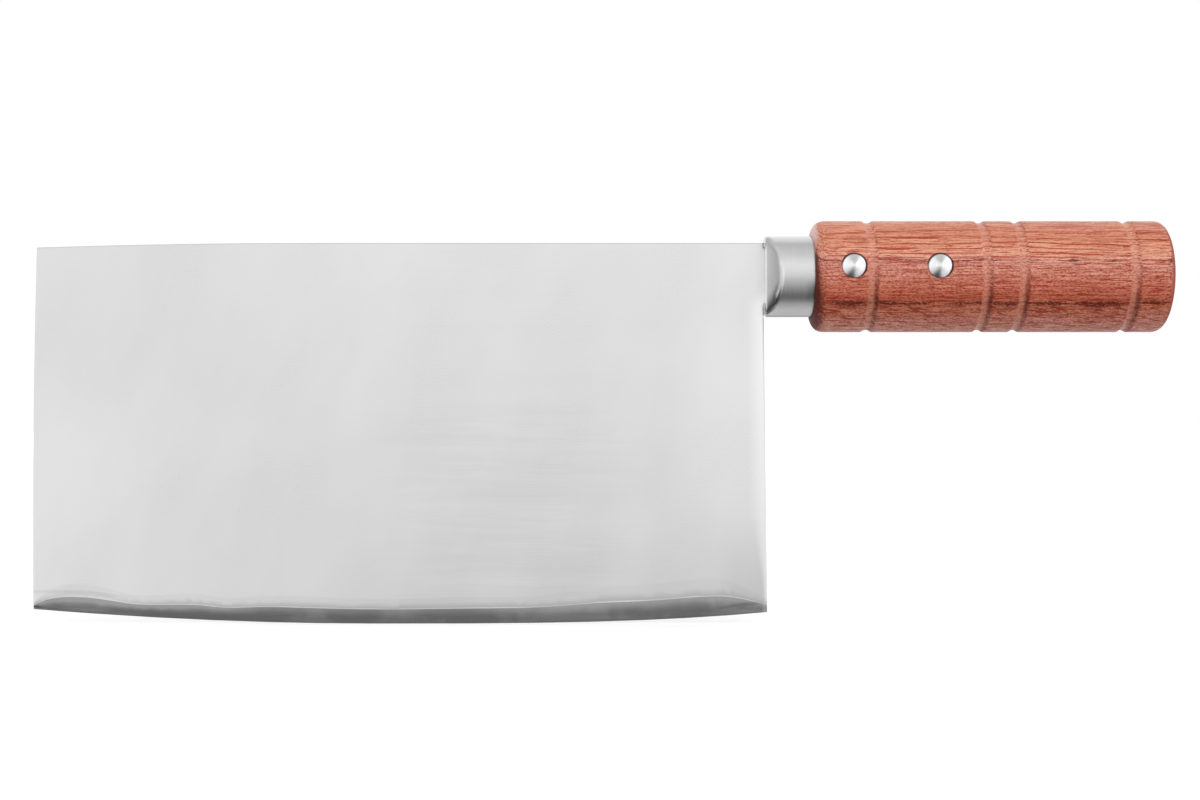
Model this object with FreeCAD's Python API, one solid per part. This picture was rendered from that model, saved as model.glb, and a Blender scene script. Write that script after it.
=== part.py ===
import FreeCAD, Part
import math
import os
from FreeCAD import Vector

# Chinese cleaver, standing on its edge with the spine up. Sizes are in millimetres.
# +X runs along the handle from the blade to the butt, and the blade's two faces look along Y.
# The origin is on the handle's axis, at the middle of the plain grip length before the last groove.

# Blade, seen from the side; heights are counted from the handle's axis
blade_length = 204.2
spine_height = 9.4
edge_depth = 97.1
spine_drop = 1.3            # fall of the spine from its straight part to the tip
spine_bend_share = 0.39     # where that fall starts, from the tip
tip_setback = 1.1           # the tip's upper corner stands back from its foot
tip_bow = 0.5               # swell of the tip's end line
heel_flare = 1.05           # the heel's foot stands further back than its top
tip_rise = 4.05             # climb of the edge from the belly to the tip
heel_rise = 3.1             # climb of the edge from the belly to the heel
belly_share = 0.46          # the lowest point of the edge, from the tip
tip_sweep_power = 1.9
heel_sweep_power = 3.2

# Blade, through its thickness
spine_thickness = 2.2
core_thickness = 0.9
cladding_foot = 0.1         # what is left of each cladding where the bevel starts
blade_round = 0.3           # eased corners of the spine, tip and heel
bevel_height = 4.5          # lamination line above the edge
edge_bevel_height = 0.5     # the honed strip at the very edge
edge_bevel_thickness = 0.2
bevel_run_out = 0.001       # how far the bevel's curve leaves the blade's face at its top

# Height of the lamination line along the blade: place from the tip, and share of the bevel height
bevel_shares = (
    (-0.01, 0.20), (0.00, 0.25), (0.01, 0.50), (0.035, 0.86), (0.07, 0.98), (0.10, 0.92),
    (0.13, 0.78), (0.17, 0.80), (0.235, 0.90), (0.26, 0.82), (0.30, 0.91), (0.37, 0.95),
    (0.50, 0.89), (0.62, 0.95), (0.71, 1.01), (0.77, 1.17), (0.84, 1.20), (0.915, 1.28),
    (0.95, 1.18), (0.98, 0.85), (1.00, 0.55), (1.01, 0.40),
)

# Tang
neck_height = 16.0
neck_length = 4.0
tang_height = 12.6
tang_thickness = 1.9        # the neck and tang are ground thinner than the blade
tang_beyond_rivet = 14.4    # from the rear rivet to the tang's end
heel_gap = 0.25             # between the heel and the bolster's front

# Bolster
bolster_radius = 11.3
bolster_length = 13.7
bolster_wall = 1.0
bolster_cap = 1.6           # thickness of its closed front
bolster_front_width = 8.4   # flat strip left between the two side facets
bolster_facet_length = 4.0
bolster_front_round = 0.8
bolster_facet_round = 1.6   # where a facet runs into the round side
bolster_rear_round = 0.4

# Handle
handle_length = 98.0
handle_radius = 15.5
front_round = 3.4
butt_round = 2.8
groove_width = 3.0
groove_depth = 0.6
groove_round = 0.5
groove_shares = (0.157, 0.475, 0.577, 0.886)
seat_depth = 0.7            # the bolster's rear end sits this deep in the wood
tenon_setback = 5.0         # from the bolster's front to the tenon's end

# Rivets; places are counted from the handle's front face
front_rivet_place = 10.1
rear_rivet_place = 33.5
rivet_rise = 2.0            # above the handle's axis
head_radius = 3.25
head_rim = 0.75
head_cone = 0.85            # height of the cone above the rim
nose_radius = 0.9           # of the round point on top
nose_height = 0.15
head_sink = 1.0             # depth of the head's seat below the wood
sleeve_radius = 2.5
sleeve_bore_radius = 1.6
sleeve_floor = 3.0          # solid length behind the sleeve's head
sleeve_end_gap = 0.6        # from the sleeve's open end to the pin's head
pin_end_gap = 2.4           # from the pin's end to the bottom of the bore

# Clearances, each per side
tang_clearance = 0.1
bolster_clearance = 0.1
rivet_clearance = 0.05
head_clearance = 0.15
drive_clearance = 0.01

overrun = 2.0               # cuts run this far past what they cut

# Places along the knife
grip_centre = (groove_shares[2] + groove_shares[3]) / 2 * handle_length
wood_front = -grip_centre
wood_butt = wood_front + handle_length
bolster_rear = wood_front + seat_depth
bolster_front = bolster_rear - bolster_length
heel_x = bolster_front - heel_gap
tip_x = heel_x - blade_length
front_rivet_x = wood_front + front_rivet_place
rear_rivet_x = wood_front + rear_rivet_place
tang_end = rear_rivet_x + tang_beyond_rivet
tenon_front = bolster_front + tenon_setback

# Heights and radii that pieces share
tang_top = rivet_rise + tang_height / 2
tang_foot = rivet_rise - tang_height / 2
neck_foot = tang_top - neck_height
slot_half = tang_thickness / 2 + tang_clearance
hollow_radius = bolster_radius - bolster_wall
seat_radius = bolster_radius + bolster_clearance
tenon_radius = hollow_radius - bolster_clearance
rivet_hole_radius = sleeve_radius + rivet_clearance
head_seat_y = math.sqrt(handle_radius ** 2 - rivet_rise ** 2) - head_sink

shoulder_thickness = core_thickness + 2 * cladding_foot
taper = (spine_thickness - shoulder_thickness) / 2 / (spine_height + edge_depth - bevel_height)

along = Vector(1, 0, 0)
across = Vector(0, 1, 0)
origin = Vector(0, 0, 0)


def line(start, end):
    return Part.LineSegment(start, end).toShape()


def arc(start, middle, end):
    return Part.Arc(start, middle, end).toShape()


def polygon(points):
    return Part.Wire([line(a, b) for a, b in zip(points, points[1:] + points[:1])])


def rod(radius, start, end):
    # a round bar along X
    return Part.makeCylinder(radius, end - start, Vector(start, 0, 0), along)


def cross_bar(x, radius, start, end):
    # a round bar through the handle along Y, on the rivets' line
    return Part.makeCylinder(radius, end - start, Vector(x, start, rivet_rise), across)


def half_thickness(z):
    # half the blade's thickness at a height; both faces taper evenly from the spine down
    return spine_thickness / 2 - taper * (spine_height - z)


def edge_z(place):
    # height of the cutting edge at a share of the blade's length from the tip
    if place < belly_share:
        run = (belly_share - place) / belly_share
        return tip_rise * run ** tip_sweep_power - edge_depth
    run = (place - belly_share) / (1 - belly_share)
    return heel_rise * run ** heel_sweep_power - edge_depth


def tang_outline(start, grow):
    # the tang from start to its round end, grown by a clearance
    top = Vector(start, 0, tang_top + grow)
    foot = Vector(start, 0, tang_foot - grow)
    round_start = tang_end - tang_height / 2
    top_end = Vector(round_start, 0, top.z)
    foot_end = Vector(round_start, 0, foot.z)
    end = Vector(tang_end + grow, 0, rivet_rise)
    return [line(top, top_end), arc(top_end, end, foot_end), line(foot_end, foot)]


def blade_plate():
    # spine, tip, heel, neck and tang in one plate, with tapered faces, eased corners and a thinner tang
    bottom = -edge_depth - overrun
    flare_start = Vector(heel_x, 0, -bolster_radius)
    flare = heel_flare / (edge_depth - heel_rise - bolster_radius)
    spine_heel = Vector(heel_x, 0, spine_height)
    spine_bend = Vector(tip_x + spine_bend_share * blade_length, 0, spine_height)
    tip_top = Vector(tip_x + tip_setback, 0, spine_height - spine_drop)
    spine_middle = Vector((spine_bend.x + tip_top.x) / 2, 0, spine_height - spine_drop / 4)
    tip_foot = Vector(tip_x, 0, bottom)
    tip_middle = (tip_top + tip_foot) / 2 - Vector(tip_bow, 0, 0)
    heel_foot = Vector(heel_x + flare * (flare_start.z - bottom), 0, bottom)
    neck_end = heel_x + neck_length
    tang = tang_outline(neck_end, 0)
    outline = [
        line(spine_heel, spine_bend),
        arc(spine_bend, spine_middle, tip_top),
        arc(tip_top, tip_middle, tip_foot),
        line(tip_foot, heel_foot),
        line(heel_foot, flare_start),
        line(flare_start, Vector(heel_x, 0, neck_foot)),
        line(Vector(heel_x, 0, neck_foot), Vector(neck_end, 0, neck_foot)),
        line(Vector(neck_end, 0, neck_foot), Vector(neck_end, 0, tang_foot)),
        *reversed(tang),
        line(Vector(neck_end, 0, tang_top), Vector(heel_x, 0, tang_top)),
        line(Vector(heel_x, 0, tang_top), spine_heel),
    ]
    flat = Part.Face(Part.Wire(outline))
    flat.translate(-across * spine_thickness)
    plate = flat.extrude(across * spine_thickness * 2)

    low = bottom - overrun
    high = spine_height + overrun
    wedge = polygon([
        Vector(tip_x - overrun, half_thickness(high), high),
        Vector(tip_x - overrun, half_thickness(low), low),
        Vector(tip_x - overrun, -half_thickness(low), low),
        Vector(tip_x - overrun, -half_thickness(high), high),
    ])
    plate = plate.common(Part.Face(wedge).extrude(along * (tang_end - tip_x + 2 * overrun)))
    plate = plate.makeFillet(blade_round, [edge for edge in plate.Edges if is_eased(edge)])
    for start in (tang_thickness / 2, -tang_thickness / 2 - spine_thickness):
        shoulder = Vector(heel_x, start, neck_foot - tang_clearance)
        plate = plate.cut(Part.makeBox(tang_end - heel_x + overrun, spine_thickness,
                                       neck_height + 2 * tang_clearance, shoulder))
    return plate


def is_eased(edge):
    # the long outer edges of the spine, tip and heel, but not those of the neck and tang
    box = edge.BoundBox
    on_face = abs(box.Center.y) > core_thickness / 2
    return on_face and box.XMin < heel_x + heel_flare / 2 and max(box.XLength, box.ZLength) > neck_height \
        and box.ZMax > -edge_depth


def bevel_top(seam, hone):
    # height where the bevel's curve runs into the blade's face without a crease
    seam_depth = half_thickness(seam) - core_thickness / 2
    hone_depth = half_thickness(hone) - edge_bevel_thickness / 2
    return seam + (seam - hone) / (math.sqrt(hone_depth / seam_depth) - 1)


def bevel_cutter(side):
    # all that lies outside the bevel on one side of the blade
    far = side * (spine_thickness / 2 + overrun)
    floor = -edge_depth - 2 * overrun
    sections = []
    for place, height_share in bevel_shares:
        x = tip_x + place * blade_length
        edge = edge_z(place)
        seam = edge + height_share * bevel_height
        top = bevel_top(seam, edge + edge_bevel_height)
        start = Vector(x, side * (half_thickness(top) + bevel_run_out), top)
        middle = Vector(x, side * core_thickness / 2, seam)
        hone = Vector(x, side * edge_bevel_thickness / 2, edge + edge_bevel_height)
        past = Vector(x, -side * edge_bevel_thickness / 2, edge - edge_bevel_height)
        corners = [hone, past, Vector(x, past.y, floor), Vector(x, far, floor), Vector(x, far, top), start]
        sides = [line(a, b) for a, b in zip(corners, corners[1:])]
        sections.append(Part.Wire([arc(start, middle, hone)] + sides))
    return Part.makeLoft(sections, True, False)


def blade_layers():
    # the ground blade, parted into its core and two claddings
    blade = blade_plate()
    for side in (1, -1):
        blade = blade.cut(bevel_cutter(side))
    for x in (front_rivet_x, rear_rivet_x):
        blade = blade.cut(cross_bar(x, rivet_hole_radius, -spine_thickness, spine_thickness))
    size = blade.BoundBox
    half_core = core_thickness / 2

    def layer(start, end):
        slab = Part.makeBox(size.XLength + 2 * overrun, end - start, size.ZLength + 2 * overrun,
                            Vector(size.XMin - overrun, start, size.ZMin - overrun))
        return blade.common(slab)

    return {
        "blade_core": layer(-half_core, half_core),
        "left_cladding": layer(-spine_thickness, -half_core),
        "right_cladding": layer(half_core, spine_thickness),
    }


def facet_block(side, inset):
    # what the side facet takes off the bolster's front corner, moved inwards by an inset
    slope = (bolster_radius - bolster_front_width / 2) / bolster_facet_length
    shift = inset * math.sqrt(1 + slope ** 2)

    def on_facet(x):
        return Vector(x, side * (bolster_front_width / 2 + slope * (x - bolster_front) - shift), 0)

    front = on_facet(bolster_front - overrun)
    back = on_facet(bolster_rear)
    corner = Vector(front.x, back.y, 0)
    block = Part.Face(polygon([front, back, corner])).extrude(Vector(0, 0, 2 * (bolster_radius + overrun)))
    block.translate(Vector(0, 0, -bolster_radius - overrun))
    return block


def bolster():
    body = rod(bolster_radius, bolster_front, bolster_rear)
    hollow = rod(hollow_radius, bolster_front + bolster_cap, bolster_rear + overrun)
    for side in (1, -1):
        body = body.cut(facet_block(side, 0))
        hollow = hollow.cut(facet_block(side, bolster_wall))
    facet_edges = [edge for edge in body.Edges
                   if edge.BoundBox.XMin < bolster_front + bolster_wall
                   and bolster_length > 2 * edge.BoundBox.XLength > bolster_facet_length]
    body = body.makeFillet(bolster_facet_round, facet_edges)
    front_edges = [edge for edge in body.Edges if edge.BoundBox.XMax < bolster_front + bolster_wall / 2]
    body = body.makeFillet(bolster_front_round, front_edges)
    rear_edges = [edge for edge in body.Edges if edge.BoundBox.XMin > bolster_rear - bolster_rear_round]
    body = body.makeFillet(bolster_rear_round, rear_edges)
    slot = Part.makeBox(bolster_cap + 2 * overrun, 2 * slot_half, neck_height + 2 * tang_clearance,
                        Vector(bolster_front - overrun, -slot_half, neck_foot - tang_clearance))
    return body.cut(hollow).cut(slot)


def handle():
    # turned body with its tenon and the seat for the bolster
    corner = min(front_round, handle_radius - seat_radius)
    bend = 1 - math.sqrt(0.5)
    front_top = Vector(wood_front + corner, 0, handle_radius)
    front_side = Vector(wood_front, 0, handle_radius - corner)
    front_middle = Vector(wood_front + corner * bend, 0, handle_radius - corner * bend)
    butt_top = Vector(wood_butt - butt_round, 0, handle_radius)
    butt_side = Vector(wood_butt, 0, handle_radius - butt_round)
    butt_middle = Vector(wood_butt - butt_round * bend, 0, handle_radius - butt_round * bend)
    steps = [
        Vector(wood_butt, 0, 0), Vector(tenon_front, 0, 0), Vector(tenon_front, 0, tenon_radius),
        Vector(bolster_rear, 0, tenon_radius), Vector(bolster_rear, 0, seat_radius),
        Vector(wood_front, 0, seat_radius), front_side,
    ]
    edges = [line(butt_side, steps[0])]
    edges += [line(a, b) for a, b in zip(steps, steps[1:]) if a != b]
    edges.append(arc(front_side, front_middle, front_top))
    edges.append(line(front_top, butt_top))
    edges.append(arc(butt_top, butt_middle, butt_side))
    wood = Part.Face(Part.Wire(edges)).revolve(origin, along)

    groove_radius = (groove_width ** 2 / 4 + groove_depth ** 2) / (2 * groove_depth)
    ring_radius = handle_radius - groove_depth + groove_radius
    places = [wood_front + share * handle_length for share in groove_shares]
    for x in places:
        wood = wood.cut(Part.makeTorus(ring_radius, groove_radius, Vector(x, 0, 0), along))
    shoulders = [edge for edge in wood.Edges if is_shoulder(edge, places)]
    wood = wood.makeFillet(groove_round, shoulders)

    outline = tang_outline(tenon_front - overrun, tang_clearance)
    mouth = line(outline[-1].Vertexes[-1].Point, outline[0].Vertexes[0].Point)
    slot = Part.Face(Part.Wire(outline + [mouth]))
    slot.translate(-across * slot_half)
    wood = wood.cut(slot.extrude(across * 2 * slot_half))
    reach = handle_radius + overrun
    for x in (front_rivet_x, rear_rivet_x):
        wood = wood.cut(cross_bar(x, rivet_hole_radius, -reach, reach))
        for start, end in ((-reach, -head_seat_y), (head_seat_y, reach)):
            wood = wood.cut(cross_bar(x, head_radius + head_clearance, start, end))
    return wood


def is_shoulder(edge, places):
    # the two round edges where a groove meets the handle's surface
    box = edge.BoundBox
    near = any(abs(box.Center.x - x) < groove_width for x in places)
    return near and box.XLength < groove_depth and box.ZLength > 2 * handle_radius - groove_depth


def rivet_head(x):
    # a flat cone on a short rim, with a blunt round point, on the right side
    def place(radius, height):
        return Vector(x + radius, head_seat_y + height, rivet_rise)

    cone_top = head_rim + head_cone
    point_top = cone_top + nose_height
    ball_radius = (nose_radius ** 2 + nose_height ** 2) / (2 * nose_height)
    half_nose = nose_radius / 2
    half_way = point_top - ball_radius + math.sqrt(ball_radius ** 2 - half_nose ** 2)
    steps = [place(0, point_top), place(0, 0), place(head_radius, 0), place(head_radius, head_rim),
             place(nose_radius, cone_top)]
    profile = [line(a, b) for a, b in zip(steps, steps[1:])]
    profile.append(arc(steps[-1], place(half_nose, half_way), steps[0]))
    return Part.Face(Part.Wire(profile)).revolve(steps[1], across)


def rivet_sleeve(x):
    # the hollow half, driven in from the right
    open_end = sleeve_end_gap - head_seat_y
    bore_end = head_seat_y - sleeve_floor
    tube = cross_bar(x, sleeve_radius, open_end, head_seat_y).fuse(rivet_head(x)).removeSplitter()
    return tube.cut(cross_bar(x, sleeve_bore_radius, open_end - overrun, bore_end))


def rivet_pin(x):
    # the solid half, driven in from the left
    head = rivet_head(x).mirror(origin, across)
    shank_end = head_seat_y - sleeve_floor - pin_end_gap
    shank = cross_bar(x, sleeve_bore_radius - drive_clearance, -head_seat_y, shank_end)
    return shank.fuse(head).removeSplitter()


nodes = blade_layers()
nodes["bolster"] = bolster()
nodes["handle"] = handle()
for place, x in (("front", front_rivet_x), ("rear", rear_rivet_x)):
    nodes[place + "_rivet_pin"] = rivet_pin(x)
    nodes[place + "_rivet_sleeve"] = rivet_sleeve(x)

os.makedirs("parts", exist_ok=True)
for name, shape in nodes.items():
    shape.exportStep("parts/" + name + ".step")
    print(name, "solids", len(shape.Solids), "valid", shape.isValid(), "volume", round(shape.Volume, 2))
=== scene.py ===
import math

import bpy
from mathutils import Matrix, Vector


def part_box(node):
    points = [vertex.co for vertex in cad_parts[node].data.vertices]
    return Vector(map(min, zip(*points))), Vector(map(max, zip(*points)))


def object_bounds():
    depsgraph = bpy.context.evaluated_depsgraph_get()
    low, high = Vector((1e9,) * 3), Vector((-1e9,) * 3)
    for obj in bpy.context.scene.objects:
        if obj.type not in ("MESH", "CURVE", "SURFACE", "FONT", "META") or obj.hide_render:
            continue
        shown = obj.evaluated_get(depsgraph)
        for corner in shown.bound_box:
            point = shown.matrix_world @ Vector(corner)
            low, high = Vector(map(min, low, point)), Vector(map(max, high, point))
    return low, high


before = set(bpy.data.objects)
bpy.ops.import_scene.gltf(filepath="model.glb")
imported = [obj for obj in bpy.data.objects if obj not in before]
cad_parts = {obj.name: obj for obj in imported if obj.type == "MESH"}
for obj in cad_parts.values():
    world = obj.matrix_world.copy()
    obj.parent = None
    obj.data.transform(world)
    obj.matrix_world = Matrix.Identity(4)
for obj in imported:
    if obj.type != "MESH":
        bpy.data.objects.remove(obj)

scene = bpy.context.scene
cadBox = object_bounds()
mm = 0.001
print("frame loaded,", len(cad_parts), "nodes")


# Small helpers for wiring shader nodes

def feed(tree, socket, value):
    if isinstance(value, bpy.types.NodeSocket):
        tree.links.new(value, socket)
    else:
        socket.default_value = value


def addNode(tree, kind, inputs=None, **settings):
    made = tree.nodes.new(kind)
    for name, value in settings.items():
        setattr(made, name, value)
    for name, value in (inputs or {}).items():
        feed(tree, made.inputs[name], value)
    return made


def calc(tree, operation, first, second=0.0, third=0.0):
    made = addNode(tree, "ShaderNodeMath", {0: first, 1: second, 2: third}, operation=operation)
    return made.outputs[0]


def times(tree, first, *others):
    for other in others:
        first = calc(tree, "MULTIPLY", first, other)
    return first


def most(tree, first, *others):
    for other in others:
        first = calc(tree, "MAXIMUM", first, other)
    return first


def gapTo(tree, value, middle):
    return calc(tree, "ABSOLUTE", calc(tree, "SUBTRACT", value, middle))


def nudged(tree, value, swing, amount):
    # moves a value to and fro with a noise, whose middle is 0.5
    return calc(tree, "MULTIPLY_ADD", calc(tree, "SUBTRACT", swing, 0.5), amount, value)


def scaled(tree, vector, scale):
    made = addNode(tree, "ShaderNodeVectorMath", {0: vector, 1: scale}, operation="MULTIPLY")
    return made.outputs[0]


def parted(tree, vector):
    return addNode(tree, "ShaderNodeSeparateXYZ", {0: vector}).outputs


def joined(tree, x, y, z):
    return addNode(tree, "ShaderNodeCombineXYZ", {0: x, 1: y, 2: z}).outputs[0]


def noise(tree, vector, detail=2.0, roughness=0.5):
    made = addNode(tree, "ShaderNodeTexNoise", {
        "Vector": vector, "Scale": 1.0, "Detail": detail, "Roughness": roughness, "Distortion": 0.0})
    return made.outputs[0]


def ramped(tree, value, span, toLow, toHigh):
    # goes smoothly from one level to another while the value crosses the span
    low, high = span
    made = addNode(tree, "ShaderNodeMapRange", {
        "Value": value, "From Min": low, "From Max": high, "To Min": toLow, "To Max": toHigh},
        interpolation_type="SMOOTHSTEP")
    return made.outputs[0]


def rising(tree, value, span, top=1.0):
    return ramped(tree, value, span, 0.0, top)


def falling(tree, value, span, top=1.0):
    return ramped(tree, value, span, top, 0.0)


def mixed(tree, factor, first, second, mode="MIX"):
    made = addNode(tree, "ShaderNodeMix", {0: factor, 6: first, 7: second},
                   data_type="RGBA", blend_type=mode)
    return made.outputs[2]


def lengthOf(tree, x, y, z):
    made = addNode(tree, "ShaderNodeVectorMath", {0: joined(tree, x, y, z)}, operation="LENGTH")
    return made.outputs[1]


def colourRamp(tree, value, stops):
    made = addNode(tree, "ShaderNodeValToRGB", {0: value})
    elements = made.color_ramp.elements
    for element, (place, colour) in zip(elements, (stops[0], stops[-1])):
        element.position = place
        element.color = colour
    for place, colour in stops[1:-1]:
        elements.new(place).color = colour
    return made.outputs[0]


def rgb(red, green, blue):
    return (red, green, blue, 1.0)


def groupSocket(group, name, way, kind="NodeSocketFloat", value=None):
    socket = group.interface.new_socket(name, in_out=way, socket_type=kind)
    if value is not None:
        socket.default_value = value


def groupEnds(group):
    start = group.nodes.new("NodeGroupInput").outputs
    end = group.nodes.new("NodeGroupOutput").inputs
    return start, end


def useGroup(tree, group, **inputs):
    made = tree.nodes.new("ShaderNodeGroup")
    made.node_tree = group
    for name, value in inputs.items():
        feed(tree, made.inputs[name], value)
    return made.outputs


def newMaterial(name):
    material = bpy.data.materials.new(name)
    material.use_nodes = True
    tree = material.node_tree
    shader = tree.nodes["Principled BSDF"]
    return material, tree, shader


def placeInMm(tree):
    # where a point lies in the knife's frame, in millimetres
    place = addNode(tree, "ShaderNodeTexCoord").outputs["Object"]
    return scaled(tree, place, (1 / mm,) * 3)


def bumped(tree, shader, height, strength, depth, **settings):
    bump = addNode(tree, "ShaderNodeBump", {
        "Height": height, "Strength": strength, "Distance": depth * mm}, **settings)
    feed(tree, shader.inputs["Normal"], bump.outputs[0])


def finishMetal(tree, shader, colour, shine, lines, look):
    feed(tree, shader.inputs["Base Color"], colour)
    shader.inputs["Metallic"].default_value = 1.0
    feed(tree, shader.inputs["Roughness"], ramped(tree, shine, look["shine"], *look["roughness"]))
    bumped(tree, shader, lines, look["lineStrength"], look["lineHeight"])


def brushedRound(tree, shader, axis, spread):
    # glints spread across lines that run round an axis
    shader.inputs["Anisotropic"].default_value = spread
    shader.inputs["Anisotropic Rotation"].default_value = 0.25  # a quarter turn
    tangent = addNode(tree, "ShaderNodeTangent", direction_type="RADIAL", axis=axis)
    feed(tree, shader.inputs["Tangent"], tangent.outputs[0])


def useOn(material, *names):
    for name in names:
        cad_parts[name].material_slots[0].material = material


# Effects that several finishes share

def makeBrushGroup():
    # grinding lines: X and Z of the vector run along them, Y runs across
    group = bpy.data.node_groups.new("brushLines", "ShaderNodeTree")
    groupSocket(group, "Vector", "INPUT", "NodeSocketVector")
    groupSocket(group, "Along", "INPUT", value=0.02)
    groupSocket(group, "Across", "INPUT", value=6.0)
    groupSocket(group, "Lines", "OUTPUT")
    groupSocket(group, "Streaks", "OUTPUT")
    start, end = groupEnds(group)
    stretch = joined(group, start["Along"], start["Across"], start["Along"])
    lines = noise(group, scaled(group, start["Vector"], stretch), detail=4.0, roughness=0.65)
    coarser = (0.4, 0.12, 0.4)
    broad = scaled(group, start["Vector"], scaled(group, stretch, coarser))
    streaks = noise(group, broad, detail=3.0, roughness=0.6)
    feed(group, end["Lines"], lines)
    feed(group, end["Streaks"], rising(group, streaks, (0.3, 0.7)))
    return group


def makeCloudGroup():
    # broad uneven patches of a finish
    group = bpy.data.node_groups.new("cloudPatches", "ShaderNodeTree")
    groupSocket(group, "Vector", "INPUT", "NodeSocketVector")
    groupSocket(group, "Size", "INPUT", value=20.0)
    groupSocket(group, "Patches", "OUTPUT")
    start, end = groupEnds(group)
    scale = calc(group, "DIVIDE", 1.0, start["Size"])
    spread = scaled(group, start["Vector"], joined(group, scale, scale, scale))
    feed(group, end["Patches"], rising(group, noise(group, spread, detail=3.0), (0.25, 0.75)))
    return group


def makeSeamGroup(look):
    # the pale wavering line where a cladding ends on the core, broader near the tip
    group = bpy.data.node_groups.new("laminationSeam", "ShaderNodeTree")
    groupSocket(group, "Vector", "INPUT", "NodeSocketVector")
    groupSocket(group, "Line", "OUTPUT")
    start, end = groupEnds(group)
    x, y, z = parted(group, start["Vector"])
    jitter = noise(group, scaled(group, start["Vector"], (0.9, 0.0, 0.5)), detail=3.0, roughness=0.6)
    above = calc(group, "SUBTRACT", calc(group, "ABSOLUTE", y), look["halfCore"])
    above = nudged(group, above, jitter, look["seamJitter"])
    width = ramped(group, x, pastTip(look["seamNarrows"]), look["seamTipWidth"], look["seamWidth"])
    spread = calc(group, "DIVIDE", above, width)
    line = times(group, rising(group, spread, (-0.6, 0.2)), rising(group, spread, (1.2, 0.5)))
    swell = noise(group, scaled(group, start["Vector"], (0.03, 0.0, 0.0)), detail=1.0)
    strong = ramped(group, swell, (0.4, 0.6), *look["seamStrength"])
    feed(group, end["Line"], times(group, line, strong))
    return group


def makeJointShadeGroup():
    # dirt and painted shade that gather in a joint: fades out over its reach, with a ragged edge
    group = bpy.data.node_groups.new("jointDirtAndShade", "ShaderNodeTree")
    groupSocket(group, "Vector", "INPUT", "NodeSocketVector")
    groupSocket(group, "Distance", "INPUT")
    groupSocket(group, "Reach", "INPUT", value=0.5)
    groupSocket(group, "DirtShade", "OUTPUT")
    start, end = groupEnds(group)
    ragged = noise(group, scaled(group, start["Vector"], (0.8, 0.8, 0.8)), detail=3.0, roughness=0.6)
    share = calc(group, "DIVIDE", start["Distance"], start["Reach"])
    feed(group, end["DirtShade"], falling(group, nudged(group, share, ragged, 0.9), (0.1, 1.0)))
    return group


blade = {
    "tip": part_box("blade_core")[0].x / mm,
    "heel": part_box("bolster")[0].x / mm - 0.25,
    "heelFlare": 0.0127,          # mm that the heel runs back per mm down
    "neck": (-7.7, 8.3),          # mm, foot and top of the neck that enters the bolster
    "spine": 9.4,                 # mm, the spine's height, its fall to the tip and where that starts
    "spineFall": 1.3,
    "spineBend": 79.6,
    "collarRadius": 11.3,         # mm, of the bolster
    "halfCore": 0.45,             # mm, half the core's thickness
    "edgeHalf": 0.1,              # mm, half the thickness above the honed edge
    "seamWidth": 0.012,           # mm of thickness that the pale line takes, here and near the tip
    "seamTipWidth": 0.028,
    "seamNarrows": (22.0, 40.0),  # mm from the tip
    "seamJitter": 0.014,
    "seamStrength": (0.5, 1.0),   # of its faint and its strong stretches
    "gapTop": (-1.6, 0.8),        # mm from the neck's top and foot, where dirt and painted shade fill the gap to the bolster
    "gapFoot": (-2.0, 1.6),
    "gapEnd": (0.0, 0.8),         # mm from the bolster's lowest line
    "gapShare": 0.95,
}


def shifted(span, by):
    return by + span[0], by + span[1]


def sized(span, by):
    return by * span[0], by * span[1]


def pastTip(span):
    return shifted(span, blade["tip"])


def beforeHeel(span):
    return blade["heel"] - span[0], blade["heel"] - span[1]


brushLines = makeBrushGroup()
cloudPatches = makeCloudGroup()
laminationSeam = makeSeamGroup(blade)
jointDirtAndShade = makeJointShadeGroup()
print("shared effects ready")


# Blade; places in X and Z are in mm in the knife's frame

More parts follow.
